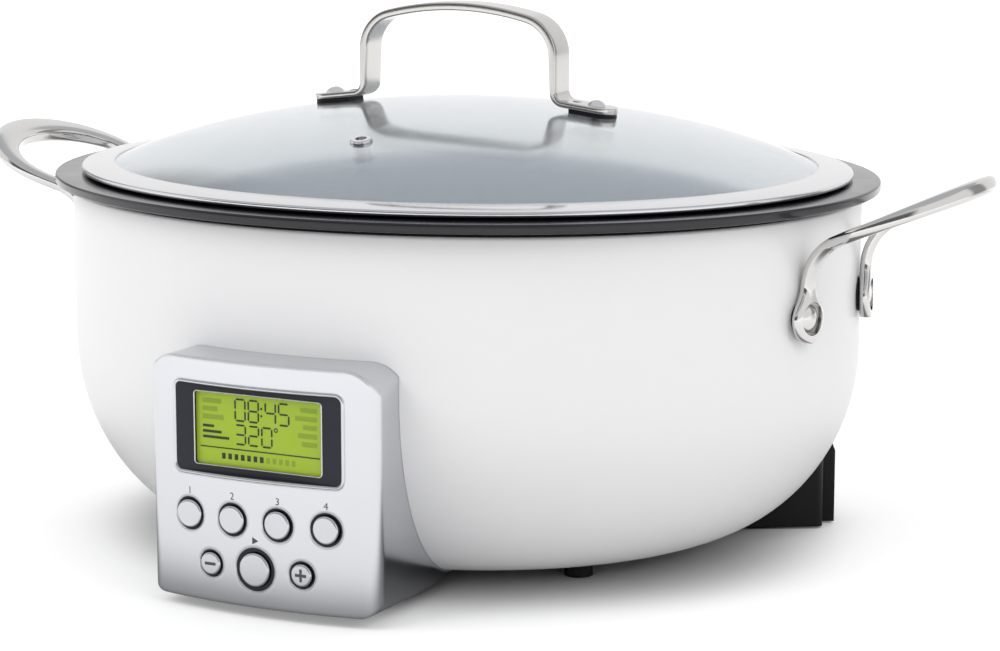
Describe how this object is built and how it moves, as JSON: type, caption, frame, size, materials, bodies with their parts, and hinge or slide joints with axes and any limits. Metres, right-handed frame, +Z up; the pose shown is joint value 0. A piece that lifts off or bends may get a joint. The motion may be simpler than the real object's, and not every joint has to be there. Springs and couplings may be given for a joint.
{
  "type": "electric skillet",
  "caption": "Oval countertop electric skillet: painted heated shell with a push-button control housing, lift-out dark pot with a wide flange, domed glass lid and metal loop handles.",
  "frame": {"origin": "on the table, under the axis of the oval pot", "axes": "+Z up, +X along the long side towards the right handle, controls face -Y"},
  "size_m": [0.4836, 0.3429, 0.234],
  "materials": {
    "shell_paint": "smooth white gloss paint",
    "liner_steel": "plain rolled steel",
    "black_silicone": "soft matt silicone",
    "pot_anodised": "hard anodised, dark grey",
    "cast_heater": "machined casting",
    "element_sheath": "heat-tinted tube",
    "ceramic": "pale ceramic",
    "screw_steel": "bright plated steel",
    "lid_glass": "clear tempered glass",
    "lid_steel": "polished steel",
    "handle_steel": "polished cast metal",
    "base_plastic": "black moulded plastic",
    "housing_silver": "satin silver",
    "bezel_dark": "dark tinted plastic",
    "window_clear": "clear window",
    "lcd_green": "yellow-green display",
    "tray_white": "white moulded plastic",
    "button_chrome": "satin plated plastic",
    "board_green": "coated circuit board",
    "switch_body": "moulded switch and part bodies",
    "nylon": "white nylon",
    "lead_jacket": "braided lead jacket"
  },
  "bodies": {
    "base": {"backlight_tray": "tray_white", "base_plate": "base_plastic", "base_screws": "screw_steel", "board_posts": "nylon", "button_bushings": "base_plastic", "control_board": "board_green", "control_board_screws": "screw_steel", "control_housing": "housing_silver", "cord_gland": "base_plastic", "display_bezel": "bezel_dark", "display_window": "window_clear", "element_terminals": "ceramic", "filter_capacitor": "switch_body", "front_feet": "black_silicone", "fuse_clip": "liner_steel", "handle_nuts": "screw_steel", "handle_pads": "black_silicone", "handle_screws": "screw_steel", "heater_leads": "lead_jacket", "heater_posts": "cast_heater", "heater_screws": "screw_steel", "heating_element": "element_sheath", "heating_plate": "cast_heater", "housing_screws": "screw_steel", "inner_liner": "liner_steel", "lcd_panel": "lcd_green", "leg_pads": "black_silicone", "leg_screws": "screw_steel", "outer_shell": "shell_paint", "power_board": "board_green", "power_relay": "base_plastic", "rear_leg_left": "base_plastic", "rear_leg_right": "base_plastic", "ribbon_cable": "lead_jacket", "rim_gasket": "black_silicone", "sensor_bracket": "element_sheath", "sensor_spring": "element_sheath", "side_handle_left": "handle_steel", "side_handle_right": "handle_steel", "start_ring": "base_plastic", "tact_switches": "switch_body", "terminal_block": "base_plastic", "thermal_fuse": "ceramic"},
    "pot": {"cooking_pot": "pot_anodised"},
    "lid": {"lid_glass": "lid_glass", "lid_rim": "lid_steel", "lid_handle": "lid_steel", "lid_handle_pads": "black_silicone", "lid_handle_screws": "screw_steel", "lid_handle_nuts": "screw_steel", "steam_vent": "lid_steel", "vent_washer": "lid_steel"},
    "sensor": {"sensor_plunger": "cast_heater"},
    "preset_button_one": {"preset_button_one": "button_chrome"},
    "preset_button_two": {"preset_button_two": "button_chrome"},
    "preset_button_three": {"preset_button_three": "button_chrome"},
    "preset_button_four": {"preset_button_four": "button_chrome"},
    "minus_button": {"minus_button": "button_chrome"},
    "start_button": {"start_button": "button_chrome"},
    "plus_button": {"plus_button": "button_chrome"}
  },
  "joints": [
    {"name": "pot_lift", "type": "slide", "parent": "base", "child": "pot", "axis": [0, 0, 1], "range_m": [0, 0.13]},
    {"name": "lid_lift", "type": "slide", "parent": "pot", "child": "lid", "axis": [0, 0, 1], "range_m": [0, 0.15]},
    {"name": "sensor_press", "type": "slide", "parent": "base", "child": "sensor", "axis": [0, 0, 1], "range_m": [-0.003, 0], "stiffness_N_per_m": 1500, "springref_m": 0.002, "deforming": ["sensor_spring"]},
    {"name": "preset_one_press", "type": "slide", "parent": "base", "child": "preset_button_one", "axis": [0, 1, 0], "range_m": [0, 0.0012], "stiffness_N_per_m": 1500},
    {"name": "preset_two_press", "type": "slide", "parent": "base", "child": "preset_button_two", "axis": [0, 1, 0], "range_m": [0, 0.0012], "stiffness_N_per_m": 1500},
    {"name": "preset_three_press", "type": "slide", "parent": "base", "child": "preset_button_three", "axis": [0, 1, 0], "range_m": [0, 0.0012], "stiffness_N_per_m": 1500},
    {"name": "preset_four_press", "type": "slide", "parent": "base", "child": "preset_button_four", "axis": [0, 1, 0], "range_m": [0, 0.0012], "stiffness_N_per_m": 1500},
    {"name": "minus_press", "type": "slide", "parent": "base", "child": "minus_button", "axis": [0, 1, 0], "range_m": [0, 0.0012], "stiffness_N_per_m": 1500},
    {"name": "start_press", "type": "slide", "parent": "base", "child": "start_button", "axis": [0, 1, 0], "range_m": [0, 0.0012], "stiffness_N_per_m": 1500},
    {"name": "plus_press", "type": "slide", "parent": "base", "child": "plus_button", "axis": [0, 1, 0], "range_m": [0, 0.0012], "stiffness_N_per_m": 1500}
  ]
}
